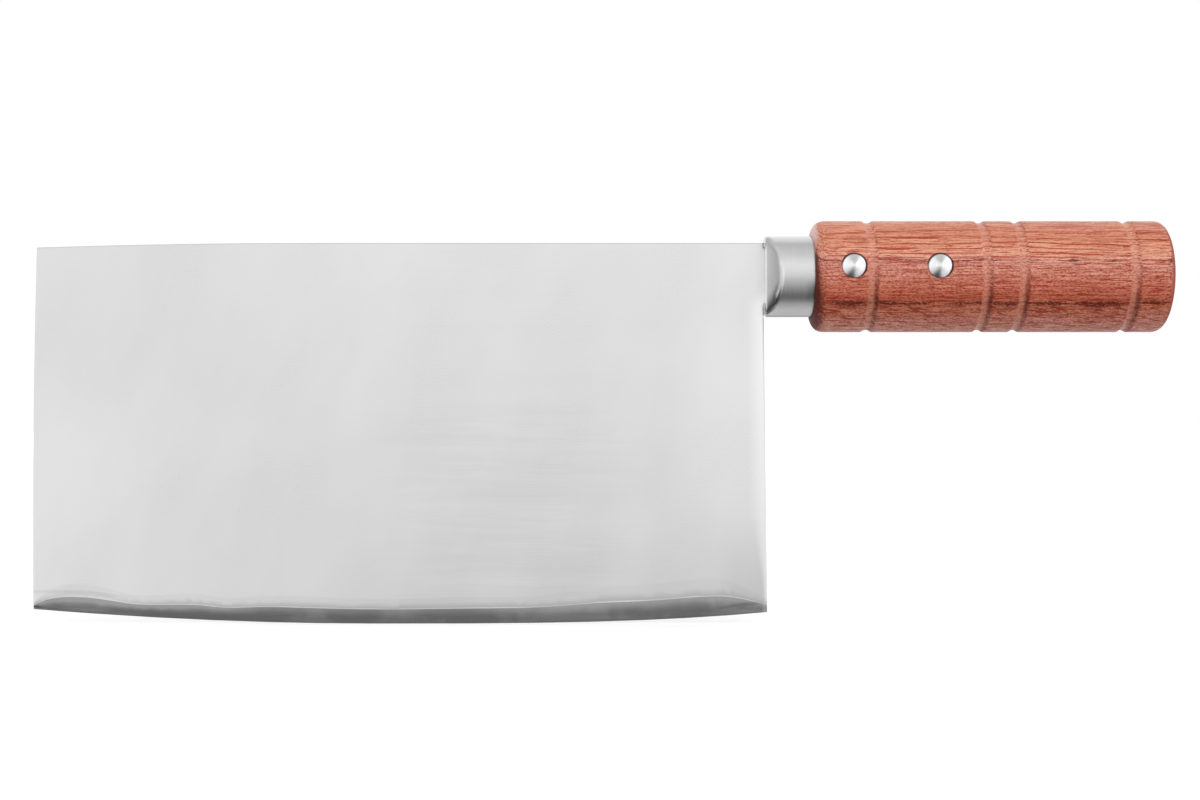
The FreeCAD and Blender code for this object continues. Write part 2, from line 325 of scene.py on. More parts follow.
satin = {
    "light": rgb(0.750, 0.750, 0.750),
    "deep": rgb(0.680, 0.680, 0.680),
    "seam": rgb(0.82, 0.82, 0.82),
    # the foot tone serves the grinding lines and painted shade, the polish tone the polished heel, the
    # brighter stretch and a painted highlight at the tip, and the rim tone painted shade
    "foot": rgb(0.44, 0.44, 0.442),
    "polish": rgb(0.95, 0.95, 0.95),
    "rim": rgb(0.36, 0.36, 0.36),
    "dirtAndShade": rgb(0.06, 0.055, 0.05),
    "roughness": (0.27, 0.35),
    "shine": (0.2, 0.8),          # shades between which the roughness changes
    "lineHeight": 0.004,          # mm
    "lineStrength": 0.3,
    "lineShare": 0.35,            # what the grinding lines and the clouds add to the shade
    "cloudShare": 0.6,
    "cloudSize": 20.0,            # mm
    "cloudLean": -0.22,
    "cloudHeight": 0.55,
    "groundStart": (-205.0, -165.0),  # X where the coarser grinding lines set in and fade out
    "groundEnd": (-145.0, -108.0),
    "groundTop": (-46.0, -30.0),  # Z above which they are faint
    "groundFaint": 0.25,
    "groundShare": 0.16,
    "groundScale": (0.012, 0.0, 0.16),    # per mm
    "groundFine": 0.5,            # how far the fine lines fray them
    "groundCut": (0.34, 0.66),    # a cut gives the levels of a noise between which a mark comes or goes
    "brightStart": (-116.0, -96.0),   # the brighter stretch before the heel, in X and Z
    "brightFoot": (-74.0, -58.0),
    "brightTop": (-30.0, -5.0),
    "brightFaint": 0.3,
    "brightShare": 0.2,
    "footRise": 0.085,            # mm of thickness from the core to where the foot is as light as the face
    "footTip": (18.0, 40.0),      # mm from the tip
    "footShare": (0.5, 0.75),     # at the tip and behind it
    "dullShadeTop": (-94.0, -66.0),    # the painted shade on the low rear in Z and X, and the X of its darkest corner
    "dullShadeStart": (-220.0, -90.0),
    "dullShadeCorner": (-99.0, -92.0),
    "dullShadeShare": (0.19, 0.46),
    "highStart": (-60.0, -10.0),  # Z of the painted shade on the upper front, and its end in mm from the tip
    "highEnd": (20.0, 100.0),
    "highShare": 0.16,
    "seamShare": 0.8,
    "tipLine": -88.1,             # Z of the faint ground line that runs in from the tip
    "tipLineFall": 1.8,
    "tipLineBend": (12.0, 30.0),  # mm from the tip, where it falls and where it ends
    "tipLineEnd": (18.0, 30.0),
    "tipLineEdge": (0.1, 0.7),
    "tipLineShare": 0.3,
    "polishWidth": (1.2, 5.5),    # mm, the polished strip of the free heel, at its foot and its top
    "polishFlare": (-92.0, -58.0),    # Z between which it widens, and where it ends
    "polishTop": (-9.5, -4.0),
    "polishShare": 0.6,
    "tipHighlight": (4.0, 48.0),     # mm from the tip
    "tipHighlightTop": (-75.0, 0.0),
    "tipHighlightShare": 0.10,
    "crease": 0.5,                # mm from the heel to a faint painted shade line beside the bolster
    "creaseEdge": (0.0, 0.35),
    "creaseShare": 0.2,
    "besideWidth": (0.0, 3.5),    # mm, the painted shade on the face beside the bolster
    "besideShare": 0.14,
    "besideFoot": (-6.0, -3.0),
    "heelRim": (0.1, 0.45),       # mm, the painted shade on the rounding of the free heel and of the spine
    "heelRimStart": (0.0, 0.4),
    "heelRimFade": (-30.0, -12.0),
    "heelRimFaint": 0.65,
    "spineRim": (0.1, 0.5),
    "spineRimShare": 0.4,
    "dirtAndShadeRise": (-6.0, 6.0),     # Z between which the dirt and painted shade in the joint widen
    "dirtAndShadeReach": (0.16, 0.55),   # mm
}


def heelGapShade(tree, place, distance, reach, top):
    # dirt and painted shade in the gap between heel and bolster, the shade thick only past the ends of the
    # neck
    z = parted(tree, place)[2]
    low, high = blade["neck"]
    above = rising(tree, z, shifted(blade["gapTop"], high), top)
    below = times(tree, falling(tree, z, shifted(blade["gapFoot"], low)),
                  rising(tree, z, shifted(blade["gapEnd"], -blade["collarRadius"])))
    dirtAndShade = useGroup(tree, jointDirtAndShade, Vector=place, Distance=distance, Reach=reach)["DirtShade"]
    return times(tree, dirtAndShade, rising(tree, most(tree, above, below), (0.0, 1.0), blade["gapShare"]))


def makeSatinSteel(look):
    material, tree, shader = newMaterial("satin cladding steel")
    place = placeInMm(tree)
    x, y, z = parted(tree, place)
    fine = useGroup(tree, brushLines, Vector=joined(tree, x, z, y), Along=0.05, Across=7.0)
    leaning = joined(tree, calc(tree, "MULTIPLY_ADD", z, look["cloudLean"], x), y,
                     times(tree, z, look["cloudHeight"]))
    patches = useGroup(tree, cloudPatches, Vector=leaning, Size=look["cloudSize"])["Patches"]
    seam = useGroup(tree, laminationSeam, Vector=place)["Line"]
    clouds = times(tree, patches, look["cloudShare"])
    shade = calc(tree, "MULTIPLY_ADD", fine["Lines"], look["lineShare"], clouds)
    colour = mixed(tree, shade, look["deep"], look["light"])

    # the middle of the face shows coarser grinding lines, and the stretch before the heel is brighter
    rows = noise(tree, scaled(tree, place, look["groundScale"]), detail=4.0, roughness=0.7)
    rows = nudged(tree, rows, fine["Lines"], look["groundFine"])
    ground = times(tree, rising(tree, x, look["groundStart"]), falling(tree, x, look["groundEnd"]),
                   ramped(tree, z, look["groundTop"], 1.0, look["groundFaint"]),
                   falling(tree, rows, look["groundCut"], look["groundShare"]))
    colour = mixed(tree, ground, colour, look["foot"])
    bright = times(tree, rising(tree, x, look["brightStart"], look["brightShare"]),
                   rising(tree, z, look["brightFoot"]),
                   ramped(tree, z, look["brightTop"], 1.0, look["brightFaint"]))
    colour = mixed(tree, bright, colour, look["polish"])

    # painted shade darkens the ground foot close to the core, the low rear and the upper front
    footSpan = (blade["halfCore"], blade["halfCore"] + look["footRise"])
    foot = times(tree, falling(tree, calc(tree, "ABSOLUTE", y), footSpan),
                 ramped(tree, x, pastTip(look["footTip"]), *look["footShare"]))
    colour = mixed(tree, foot, colour, look["foot"])
    dullShade = times(tree, falling(tree, z, look["dullShadeTop"]), rising(tree, x, look["dullShadeStart"]),
                 ramped(tree, x, look["dullShadeCorner"], *look["dullShadeShare"]))
    colour = mixed(tree, dullShade, colour, look["foot"])
    high = times(tree, rising(tree, z, look["highStart"], look["highShare"]),
                 falling(tree, x, pastTip(look["highEnd"])))
    colour = mixed(tree, high, colour, look["foot"])

    # the pale lamination line, and a faint ground line at the tip
    colour = mixed(tree, times(tree, seam, look["seamShare"]), colour, look["seam"])
    lineHeight = ramped(tree, x, pastTip(look["tipLineBend"]),
                        look["tipLine"], look["tipLine"] - look["tipLineFall"])
    offLine = gapTo(tree, z, lineHeight)
    tipLine = times(tree, falling(tree, offLine, look["tipLineEdge"], look["tipLineShare"]),
                    falling(tree, x, pastTip(look["tipLineEnd"])))
    colour = mixed(tree, tipLine, colour, look["foot"])

    # the free heel is polished, the low end of the tip has a painted highlight, and painted shade darkens the
    # face beside the bolster
    drop = most(tree, calc(tree, "SUBTRACT", -blade["collarRadius"], z), 0.0)
    heel = calc(tree, "MULTIPLY_ADD", drop, blade["heelFlare"], blade["heel"])
    inward = calc(tree, "SUBTRACT", heel, x)
    width = ramped(tree, z, look["polishFlare"], *look["polishWidth"])
    polish = times(tree, falling(tree, calc(tree, "DIVIDE", inward, width), (0.0, 1.0), look["polishShare"]),
                   falling(tree, z, look["polishTop"]))
    tipHighlight = times(tree, falling(tree, x, pastTip(look["tipHighlight"])),
                      falling(tree, z, look["tipHighlightTop"], look["tipHighlightShare"]))
    colour = mixed(tree, most(tree, polish, tipHighlight), colour, look["polish"])
    crease = falling(tree, gapTo(tree, inward, look["crease"]), look["creaseEdge"], look["creaseShare"])
    beside = most(tree, crease, falling(tree, inward, look["besideWidth"], look["besideShare"]))
    colour = mixed(tree, times(tree, beside, rising(tree, z, look["besideFoot"])), colour, look["foot"])

    # painted shade on the rounded rims of the spine and the free heel, and dirt and painted shade in the
    # joint with the bolster
    fall = calc(tree, "SUBTRACT", blade["tip"] + blade["spineBend"], x)
    fall = most(tree, calc(tree, "DIVIDE", fall, blade["spineBend"]), 0.0)
    fall = calc(tree, "POWER", fall, 2.0)
    spine = calc(tree, "MULTIPLY_ADD", fall, -blade["spineFall"], blade["spine"])
    below = calc(tree, "SUBTRACT", spine, z)
    heelRim = times(tree, falling(tree, inward, look["heelRim"]), rising(tree, drop, look["heelRimStart"]),
                    ramped(tree, z, look["heelRimFade"], look["heelRimFaint"], 1.0))
    rim = most(tree, heelRim, falling(tree, below, look["spineRim"], look["spineRimShare"]))
    colour = mixed(tree, rim, colour, look["rim"])
    reach = ramped(tree, z, look["dirtAndShadeRise"], *look["dirtAndShadeReach"])
    colour = mixed(tree, heelGapShade(tree, place, inward, reach, top=1.0), colour, look["dirtAndShade"])
    finishMetal(tree, shader, colour, shade, fine["Lines"], look)
    return material


hardSteel = {
    "nearSeam": rgb(0.42, 0.42, 0.422),
    "nearEdge": rgb(0.17, 0.17, 0.172),
    # pale tone of the worn patches and of the painted highlights on the corners
    "lightened": rgb(0.40, 0.40, 0.40),
    "honed": rgb(0.32, 0.32, 0.32),
    "seam": rgb(0.70, 0.70, 0.70),
    "roughness": (0.24, 0.34),
    "shine": (0.3, 0.7),
    "lineHeight": 0.004,          # mm
    "lineStrength": 0.3,
    "lineShare": 0.35,
    "risePower": 2.6,             # how late the tone lightens from the edge to the seam
    "tipLight": (30.0, 80.0),     # the band's lighter ends, in mm from the tip and in X
    "heelLight": (-175.0, -125.0),
    "endLight": (1.5, 0.55, 1.0),     # at the tip, in the middle and at the heel
    "patchSize": 18.0,            # mm
    "patchCut": (0.2, 0.8),
    "patchLight": (0.8, 1.15),
    "wornCut": (0.45, 0.8),       # of the patches that are worn pale, more so along the streaks
    "wornStreaks": (0.5, 1.0),
    "lightenedShare": 0.3,
    "tipCorner": (1.0, 9.0),      # painted highlights on the corners, in mm from the tip and from the heel
    "heelCorner": (9.0, 0.0),
    "tipCornerShare": 0.55,
    "heelCornerShare": 0.5,
    "seamShare": 0.4,
    "shadowClimb": (18.0, 4.0),   # mm from the heel, where the dark reflection climbs, starts and ends
    "shadowHeights": (-93.6, -91.6),
    "shadowStart": (24.0, 14.0),
    "shadowEnd": (3.0, 0.8),
    "shadowEdge": (0.0, 0.8),
    "shadowShare": 0.6,
    "honedStart": (14.0, 1.0),    # mm from the heel, and mm of half thickness
    "honedDepth": (0.13, 0.22),
    "honedShare": 0.9,
    "edgePlain": 0.6,             # share of the edge's half thickness that has the honed tone in full
    "edgeShare": 0.5,
    "tipGlint": (0.5, 5.0),       # pale ends, in mm from the tip and from the heel
    "tipGlintFoot": (-92.3, -91.4),
    "tipGlintShare": 0.6,
    "heelGlint": (0.6, -0.4),
    "heelGlintShare": 0.5,
}


def makeHardSteel(look):
    material, tree, shader = newMaterial("ground core steel")
    place = placeInMm(tree)
    x, y, z = parted(tree, place)
    fine = useGroup(tree, brushLines, Vector=joined(tree, x, z, y), Along=0.08, Across=9.0)
    patches = useGroup(tree, cloudPatches, Vector=place, Size=look["patchSize"])["Patches"]
    seam = useGroup(tree, laminationSeam, Vector=place)["Line"]
    depth = calc(tree, "ABSOLUTE", y)
    rise = rising(tree, depth, (blade["edgeHalf"], blade["halfCore"]))
    rise = calc(tree, "POWER", rise, look["risePower"])
    atTip, midway, atHeel = look["endLight"]
    ends = most(tree, ramped(tree, x, pastTip(look["tipLight"]), atTip, midway),
                ramped(tree, x, look["heelLight"], midway, atHeel))
    ends = times(tree, ends, ramped(tree, patches, look["patchCut"], *look["patchLight"]))
    rise = nudged(tree, times(tree, rise, ends), fine["Lines"], look["lineShare"])
    colour = mixed(tree, rise, look["nearEdge"], look["nearSeam"])
    lightened = times(tree, rising(tree, patches, look["wornCut"], look["lightenedShare"]),
                 ramped(tree, fine["Streaks"], (0.0, 1.0), *look["wornStreaks"]))
    # painted highlights on the bevel's corners at the tip and the heel
    corner = most(tree, falling(tree, x, pastTip(look["tipCorner"]), look["tipCornerShare"]),
                  rising(tree, x, beforeHeel(look["heelCorner"]), look["heelCornerShare"]))
    colour = mixed(tree, most(tree, lightened, corner), colour, look["lightened"])
    colour = mixed(tree, times(tree, seam, look["seamShare"]), colour, look["seam"])

    # a dark reflection rises to the heel's corner, and the honed strip below it is lighter
    shadowHeight = ramped(tree, x, beforeHeel(look["shadowClimb"]), *look["shadowHeights"])
    shadow = times(tree, falling(tree, gapTo(tree, z, shadowHeight), look["shadowEdge"], look["shadowShare"]),
                   rising(tree, x, beforeHeel(look["shadowStart"])),
                   falling(tree, x, beforeHeel(look["shadowEnd"])))
    colour = mixed(tree, shadow, colour, look["nearEdge"])
    edge = falling(tree, depth, (look["edgePlain"] * blade["edgeHalf"], blade["edgeHalf"]))
    strip = times(tree, rising(tree, x, beforeHeel(look["honedStart"])),
                  falling(tree, depth, look["honedDepth"], look["honedShare"]))
    edge = most(tree, times(tree, edge, look["edgeShare"]), strip)
    colour = mixed(tree, edge, colour, look["honed"])

    # both ends of the bevel catch the light
    tipGlint = times(tree, falling(tree, x, pastTip(look["tipGlint"]), look["tipGlintShare"]),
                     rising(tree, z, look["tipGlintFoot"]))
    heelGlint = rising(tree, x, beforeHeel(look["heelGlint"]), look["heelGlintShare"])
    colour = mixed(tree, most(tree, tipGlint, heelGlint), colour, look["seam"])
    finishMetal(tree, shader, colour, fine["Lines"], fine["Lines"], look)
    return material


useOn(makeSatinSteel(satin), "left_cladding", "right_cladding")
useOn(makeHardSteel(hardSteel), "blade_core")
print("blade finished")


# Bolster; places are Z in mm, or mm from its front, its rear or its round

collar = {
    "light": rgb(0.64, 0.635, 0.635),
    "deep": rgb(0.55, 0.545, 0.545),
    # tones of the painted shade and the painted highlights
    "paintedShade": rgb(0.02, 0.02, 0.021),
    "paintedHighlight": rgb(0.98, 0.98, 0.98),
    "dirtAndShade": rgb(0.04, 0.035, 0.03),
    "roughness": (0.18, 0.28),
    "shine": (0.3, 0.7),
    "spread": 0.5,                # of the glints across the brushing
    "lineHeight": 0.006,          # mm
    "lineStrength": 0.35,
    "lineShare": 0.7,             # what the brushing and the patches add to the shade
    "patchShare": 0.3,
    "patchSize": 6.0,
    "flatRise": (-7.0, -5.0),     # Z between which the flats' shading draws back from the round
    "flatEnds": (-0.45, -1.25),
    "flatEdge": (-0.5, 0.5),
    "rollShadeSlope": -0.61,           # the painted shade on the flats, slanting to their low rear corners
    "rollShadeSpan": (3.5, 6.5),
    "rollShadeShare": 0.84,
    "rollShadeFoot": (-11.0, -9.0),
    "rollShadeFaint": 0.3,
    "frontRollShade": (0.3, 3.2),      # and the part of it that grows with the distance from the front
    "frontRollShadeShare": 0.24,
    "frontRollShadeRise": (-8.0, -3.0),
    "rim": -0.7,                  # the flats' edge, with a painted highlight at mid height and painted shade higher up
    "highlightEdge": (0.0, 0.5),
    "highlightShare": 0.35,
    "highlightFoot": (-3.2, -0.6),
    "highlightTop": (3.0, 6.5),
    "dullShadeEdge": (0.2, 1.1),
    "dullShadeShare": 0.22,
    "dullShadeFoot": (2.5, 5.5),
    "frontRim": (0.1, 0.55),      # the painted highlight on the front rim, and the painted shade on the corner above it
    "frontRimTop": (7.5, 9.5),
    "corner": (0.2, 1.0),
    "cornerShare": 0.16,
    "cornerFoot": (6.0, 8.5),
    "dim": (0.5, 4.5),            # the painted shade at the rear, a little below the middle
    "dimShare": 0.4,
    "dimFoot": (-8.0, -5.5),
    "dimTop": (-4.0, -1.0),
    "back": (8.3, 9.9),           # the painted highlight on the back and the painted shade on the underside
    "backShare": 0.4,
    "backTop": (10.1, 11.1),
    "backFaint": 0.2,
    "backFront": (0.5, 2.5),
    "underside": (-11.28, -10.8),
    "undersideShare": 0.85,
    "dirtAndShadeReach": (1.3, 0.1),     # mm, at the rear, low and high
    "dirtAndShadeRise": (-4.5, 0.5),
    "dirtAndShadeFoot": (-8.5, -5.5),
    "dirtAndShadeFaint": 0.35,
    "dirtAndShadeTop": (-1.0, 1.5),
    "dirtAndShadeShare": 0.9,
    "heelGapShade": 0.25,            # mm that the dirt and painted shade beside the heel reach
}


def makeBrushedCollar(look):
    # brushed round and round on the lathe
    material, tree, shader = newMaterial("brushed bolster steel")
    place = placeInMm(tree)
    x, y, z = parted(tree, place)
    fine = useGroup(tree, brushLines, Vector=joined(tree, y, x, z), Along=0.06, Across=6.0)
    patches = useGroup(tree, cloudPatches, Vector=place, Size=look["patchSize"])["Patches"]
    patches = times(tree, patches, look["patchShare"])
    shade = calc(tree, "MULTIPLY_ADD", fine["Lines"], look["lineShare"], patches)
    colour = mixed(tree, shade, look["deep"], look["light"])
    low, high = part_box("bolster")
    front = calc(tree, "SUBTRACT", x, low.x / mm)
    rear = calc(tree, "SUBTRACT", high.x / mm, x)

    # painted shade on the two flats, growing towards their low rear corners
    inside = calc(tree, "SUBTRACT", lengthOf(tree, 0.0, y, z), blade["collarRadius"])
    fromEnd = calc(tree, "SUBTRACT", inside, ramped(tree, z, look["flatRise"], *look["flatEnds"]))
    flat = falling(tree, fromEnd, look["flatEdge"])
    slanting = calc(tree, "MULTIPLY_ADD", z, look["rollShadeSlope"], front)
    frontRollShade = times(tree, rising(tree, front, look["frontRollShade"], look["frontRollShadeShare"]),
                      ramped(tree, z, look["frontRollShadeRise"], look["rollShadeFaint"], 1.0))
    rollShade = calc(tree, "ADD", rising(tree, slanting, look["rollShadeSpan"], look["rollShadeShare"]), frontRollShade)
    rollShade = times(tree, rollShade, ramped(tree, z, look["rollShadeFoot"], look["rollShadeFaint"], 1.0))
    colour = mixed(tree, times(tree, flat, rollShade), colour, look["paintedShade"])

    # painted highlights on the flats' edge and the front rim, and painted shade on both at the top
    offRim = gapTo(tree, inside, look["rim"])
    paintedHighlight = times(tree, falling(tree, offRim, look["highlightEdge"], look["highlightShare"]),
                   rising(tree, z, look["highlightFoot"]), falling(tree, z, look["highlightTop"]))
    frontRim = times(tree, falling(tree, front, look["frontRim"]), falling(tree, z, look["frontRimTop"]))
    colour = mixed(tree, most(tree, paintedHighlight, frontRim), colour, look["paintedHighlight"])
    corner = times(tree, falling(tree, front, look["corner"], look["cornerShare"]),
                   rising(tree, z, look["cornerFoot"]))
    dullShade = times(tree, falling(tree, offRim, look["dullShadeEdge"], look["dullShadeShare"]),
                 rising(tree, z, look["dullShadeFoot"]))
    colour = mixed(tree, most(tree, corner, dullShade), colour, look["paintedShade"])

    # painted shade at the rear, a painted highlight on the back and painted shade on the underside
    dim = times(tree, falling(tree, rear, look["dim"], look["dimShare"]),
                rising(tree, z, look["dimFoot"]), falling(tree, z, look["dimTop"]))
    colour = mixed(tree, dim, colour, look["paintedShade"])
    back = times(tree, rising(tree, z, look["back"], look["backShare"]),
                 ramped(tree, z, look["backTop"], 1.0, look["backFaint"]),
                 rising(tree, front, look["backFront"]))
    colour = mixed(tree, back, colour, look["paintedHighlight"])
    colour = mixed(tree, falling(tree, z, look["underside"], look["undersideShare"]), colour, look["paintedShade"])

    # dirt and painted shade at the wood and at the heel
    reach = times(tree, ramped(tree, z, look["dirtAndShadeRise"], *look["dirtAndShadeReach"]),
                  ramped(tree, z, look["dirtAndShadeFoot"], look["dirtAndShadeFaint"], 1.0))
    dirtAndShade = useGroup(tree, jointDirtAndShade, Vector=place, Distance=rear, Reach=reach)["DirtShade"]
    dirtAndShade = times(tree, dirtAndShade, falling(tree, z, look["dirtAndShadeTop"]))
    dirtAndShade = most(tree, dirtAndShade, heelGapShade(tree, place, front, look["heelGapShade"], top=0.0))
    colour = mixed(tree, times(tree, dirtAndShade, look["dirtAndShadeShare"]), colour, look["dirtAndShade"])
    finishMetal(tree, shader, colour, fine["Lines"], fine["Lines"], look)
    brushedRound(tree, shader, "X", look["spread"])
    return material


useOn(makeBrushedCollar(collar), "bolster")
print("bolster finished")


# Rivets

turned = {
    "light": rgb(0.86, 0.855, 0.865),
    # the deep tone paints the dark and grey reflections, and the rim tone a painted shade
    "deep": rgb(0.14, 0.14, 0.142),
    "rim": rgb(0.07, 0.03, 0.03),
    "roughness": (0.26, 0.34),
    "shine": (0.3, 0.7),
    "spread": 0.9,                # of the glints across the turning
    "lineHeight": 0.004,          # mm
    "lineStrength": 0.3,
    "lineShare": 0.3,
    "rise": 2.0,                  # mm, the rivets' line above the handle's axis
    "head": 3.25,                 # mm, radius of the head
    "seat": 3.4,                  # mm, radius of the hole that it sits in
    "wedge": (0.34, 0.94),        # towards the painted dark reflection, low at the left
    "wedgeSpan": (0.80, 0.985),
    "upperSpan": (0.55, 0.95),    # the painted grey reflection at the top
    "upperShare": 0.38,
    "blur": 0.2,                  # mm, of the sectors at the centre
    "rimStart": (-0.3, -0.05),    # mm from the head's radius, where its painted shade rim sets in
    "rimRise": (-2.5, 0.5),       # mm, between which it grows towards the upper right
    "rimShare": 0.9,
    "aside": 0.5,                 # how far that direction leans to the right
}
rivetPlaces = []


def makeTurnedSteel(name, centre, look):
    # faced on a lathe, so the lines run round the rivet's own axis
    material, tree, shader = newMaterial(name)
    place = placeInMm(tree)
    x, y, z = parted(tree, place)
    right = calc(tree, "SUBTRACT", x, centre)
    up = calc(tree, "SUBTRACT", z, look["rise"])
    radius = lengthOf(tree, right, 0.0, up)
    fine = useGroup(tree, brushLines, Vector=joined(tree, right, radius, up), Along=0.1, Across=7.0)
    # painted reflections: a dark sector low at the left and a grey one at the top
    around = calc(tree, "ADD", radius, look["blur"])
    wedgeLeft, wedgeDown = look["wedge"]
    low = calc(tree, "MULTIPLY_ADD", right, -wedgeLeft, times(tree, up, -wedgeDown))
    low = rising(tree, calc(tree, "DIVIDE", low, around), look["wedgeSpan"])
    high = rising(tree, calc(tree, "DIVIDE", up, around), look["upperSpan"], look["upperShare"])
    lines = rising(tree, fine["Lines"], look["shine"])
    shade = calc(tree, "MULTIPLY_ADD", lines, look["lineShare"], most(tree, low, high))
    colour = mixed(tree, shade, look["light"], look["deep"])
    # painted shade on the rim, most at the upper right
    upRight = calc(tree, "MULTIPLY_ADD", right, look["aside"], up)
    rim = times(tree, rising(tree, radius, shifted(look["rimStart"], look["head"])),
                rising(tree, upRight, look["rimRise"], look["rimShare"]))
    finishMetal(tree, shader, mixed(tree, rim, colour, look["rim"]), fine["Lines"], fine["Lines"], look)
    brushedRound(tree, shader, "Y", look["spread"])
    return material


for end in ("front", "rear"):
    low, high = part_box(end + "_rivet_pin")
    centre = (low.x + high.x) / 2 / mm
    rivetPlaces.append(centre)
    useOn(makeTurnedSteel(end + " rivet steel", centre, turned), end + "_rivet_pin", end + "_rivet_sleeve")
print("rivets finished")


# Handle

wood = {
    "length": 98.0,               # mm, from its front face to the butt
    "grooves": (0.157, 0.475, 0.577, 0.886),  # shares of that length
    "grooveWidth": 3.0,           # mm
    "pith": (14.0, -62.0),        # mm, where the tree's heart lay in Y and Z
    "ringStart": 68.66,           # mm from the heart to the middle of the shown side
    "slowDrift": 1.6,             # mm that the rings waver
    "quickDrift": 2.0,
    "grain": {                    # noises per mm along and across the fibre, with detail and roughness
        "slow": (0.014, 0.05, 1.0, 0.5),
        "quick": (0.022, 0.16, 2.0, 0.5),
        "bands": (0.03, 0.9, 2.0, 0.5),
        "breaks": (0.07, 0.9, 2.0, 0.5),
        "fibre": (0.06, 2.6, 3.0, 0.65),
        "pores": (0.26, 4.2, 2.0, 0.5),
        "mottle": (1.3, 2.5, 3.0, 0.75),
        "dots": (1.2, 2.6, 3.0, 0.65),
        "smear": (1.4, 3.0, 3.0, 0.7),
        "grooveShade": (1.5, 0.8, 3.0, 0.7),
    },
    "tones": (                    # growth bands, counted in mm from that middle, as all ring places are
        (-18.0, rgb(0.86, 0.44, 0.338)),
        (-14.0, rgb(0.705, 0.322, 0.23)),
        (-10.5, rgb(0.615, 0.245, 0.145)),
        (-6.5, rgb(0.555, 0.148, 0.076)),
        (-4.0, rgb(0.675, 0.22, 0.132)),
        (0.0, rgb(0.70, 0.308, 0.22)),
        (2.7, rgb(0.69, 0.33, 0.255)),
        (4.0, rgb(0.79, 0.41, 0.29)),
        (5.5, rgb(0.745, 0.36, 0.23)),
        (7.5, rgb(0.655, 0.268, 0.156)),
        (10.0, rgb(0.675, 0.275, 0.162)),
    ),
    "tan": rgb(0.82, 0.40, 0.27),     # thin light bands, more of them in the upper rings
    "tanCut": (0.40, 0.62),
    "tanRings": (-4.0, 4.0),
    "tanShare": (0.1, 0.4),
    "dark": rgb(0.48, 0.13, 0.075),   # what the grain's dark lines leave of a tone
    "linesPerMm": 0.95,
    "lineDrift": 11.0,
    "driftPlace": (0.02, 0.45, 9.0),  # per mm along the fibre and per mm of ring, and a fixed place
    "lineCut": (0.5, 1.0),
    "breakCut": (0.38, 0.54),
    "lineRings": (1.0, 5.0),
    "lineShare": (0.25, 0.9),
    "lineEnd": (6.5, 10.5),       # rings where the lines grow fainter again
    "lineFaint": 0.35,
    "lineDepth": 0.3,             # share of the pores' depth
    "fibreCut": (0.40, 0.66),
    "fibreShare": 0.5,
    "poreCut": (0.55, 0.65),
    "poreRings": (3.0, 7.0),
    "poreFaint": 0.75,
    "poreDepth": 0.05,            # mm
    "poreStrength": 0.5,
    "mottleCut": (0.42, 0.62),
    "mottleRings": (0.0, 5.0),
    "mottleShare": (0.62, 0.3),
    "streakSlant": 0.2,
    "streakScale": (0.15, 1.0, 1.3),  # per mm
    "streakCut": (0.52, 0.66),
    "streakRings": (-9.6, -8.6),
    "streakShare": 0.95,
    "veins": (                    # ring, half width, how often it breaks, colour
        (3.0, 0.28, 0.45, rgb(0.07, 0.012, 0.018)),
        (-8.4, 0.40, 0.34, rgb(0.075, 0.006, 0.003)),
    ),
    "veinSway": 2.2,              # mm
    "veinSmear": 0.8,
    "swayPerMm": 0.08,
    "swellPerMm": 0.09,
    "swellCut": 0.25,             # how far above its gaps a vein is full
    "veinThin": 0.02,             # mm
    "veinEdge": (0.4, 1.5),
    "veinShare": 0.95,
    "dotCut": (0.40, 0.56),
    "dotFaint": 0.25,
    "haloDrop": -2.0,             # half widths from the vein down to its soft shadow
    "haloEdge": (1.0, 4.5),
    "haloCut": (0.15, 0.35),
    "haloShare": 0.5,
    "groove": rgb(0.74, 0.36, 0.26),
    "grooveMiddle": -0.12,        # the painted highlight and the painted shade, in widths from the groove's middle
    "grooveEdge": (0.15, 0.5),
    "grooveShare": 0.25,
    "grooveDirt": rgb(0.09, 0.014, 0.012),
    "grooveShadeMiddle": 0.30,
    "grooveShadeEdge": (0.05, 0.36),
    "grooveShadeCut": (0.36, 0.58),
    "grooveShadePatches": (0.45, 1.0),
    "grooveShadeTop": (-8.0, 3.0),       # Z in mm
    "grooveShadeShare": 0.75,
    "grooveShadeFoot": (-14.0, -9.0),
    "grooveShadeFaint": 0.55,
    # the end grain tone, with painted shade at the butt's rounding
    "endGrain": rgb(0.28, 0.07, 0.04),
    "endStart": (-5.0, -3.0),     # mm from the butt
    "endRounding": (0.3, 0.75),   # how far the surface faces the rear
    "endFlat": (0.9, 1.0),
    "endFlatShare": 0.6,
    "endShare": 0.95,
    "dirtAndShade": rgb(0.07, 0.007, 0.006),
    "dirtAndShadeShare": 0.9,
    "seatReach": (3.3, 1.0),      # mm, dirt and painted shade behind the bolster, low and high
    "seatRise": (-9.0, 4.0),
    "seatTop": (4.0, 8.0),
    "rivetReach": 0.36,           # mm, painted shade round the rivets' heads, most at the upper right
    "rivetRise": (-3.0, 0.0),
    "rivetFaint": 0.15,
    "lightened": rgb(0.80, 0.62, 0.60),    # painted highlight at the front rounding
    "frontHighlightWidth": (0.3, 1.6),      # mm from the front face
    "frontHighlightFoot": (8.0, 10.5),
    "lightenedShare": 0.55,
    "roughness": (0.42, 0.62),
    "lacquer": 0.22,              # weight and roughness of the thin coat
    "lacquerRoughness": 0.22,
    "specular": 0.2,
}


def grainNoise(tree, place, drawn):
    # noise drawn out along the wood's fibre
    along, across, detail, roughness = drawn
    return noise(tree, scaled(tree, place, (along, across, across)), detail, roughness)


